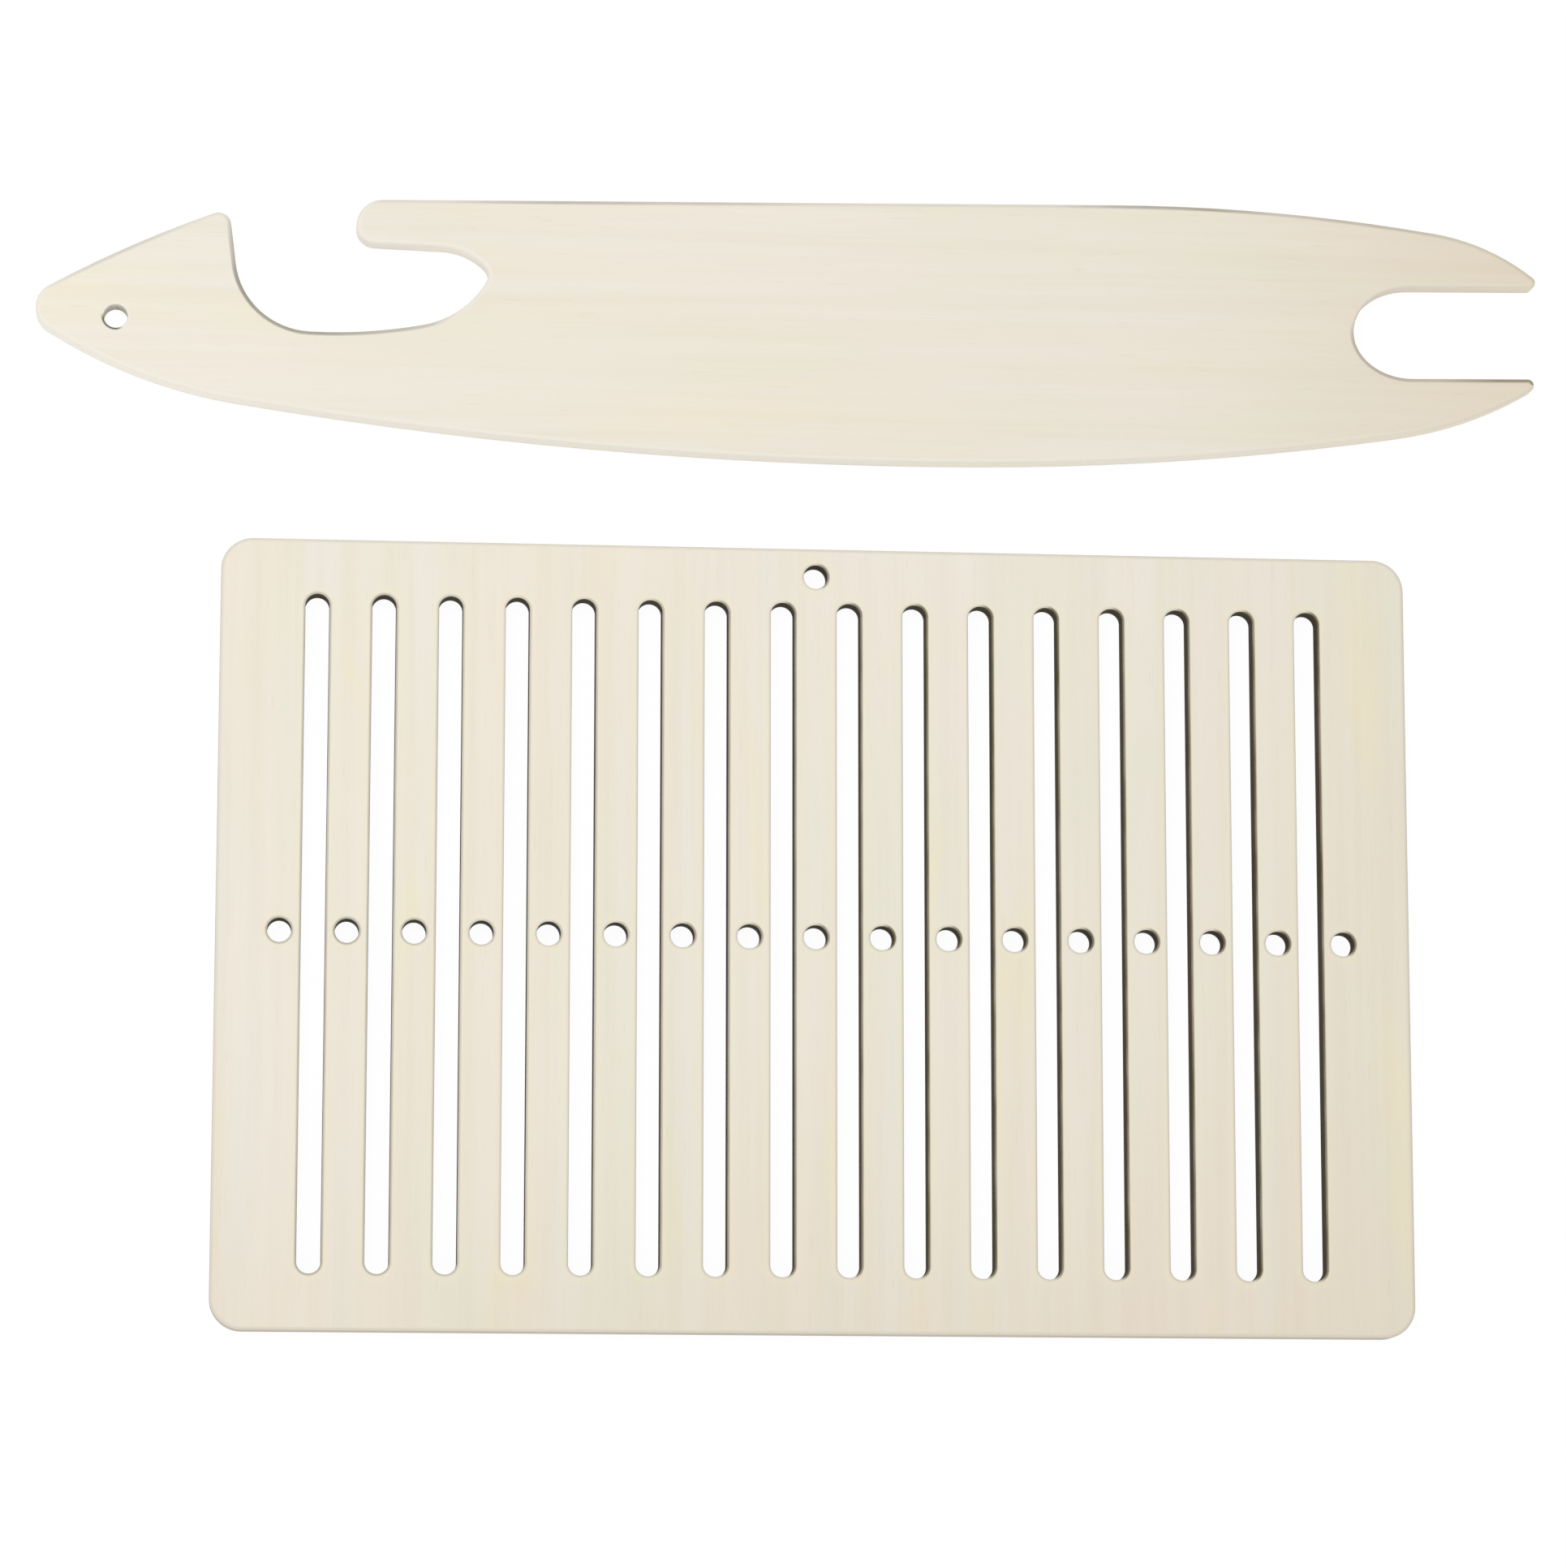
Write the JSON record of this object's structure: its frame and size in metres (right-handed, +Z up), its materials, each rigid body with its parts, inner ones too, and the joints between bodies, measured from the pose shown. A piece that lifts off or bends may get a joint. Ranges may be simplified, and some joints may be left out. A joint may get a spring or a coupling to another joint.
{
  "type": "band weaving loom",
  "caption": "Rigid heddle plate with long slots and a middle row of eyes, and a flat shuttle with a hook notch at its nose and a forked tail, for hand weaving narrow bands.",
  "frame": {"origin": "middle eye of the heddle, on its axis at the underside of the plate", "axes": "+X across the warp, from the shuttle's nose towards its fork; +Y along the slots, towards the shuttle; +Z up from the table that both pieces lie on"},
  "size_m": [0.1919, 0.145, 0.003],
  "materials": {
    "heddle_board": "bare, finely sanded, matt",
    "shuttle_board": "bare, finely sanded, matt"
  },
  "bodies": {
    "heddle": {"heddle": "heddle_board"},
    "shuttle": {"shuttle": "shuttle_board"}
  },
  "joints": [
    {"name": "shuttle_pass", "type": "slide", "parent": "heddle", "child": "shuttle", "axis": [1, 0, 0], "range_m": [-0.17, 0.17]}
  ]
}
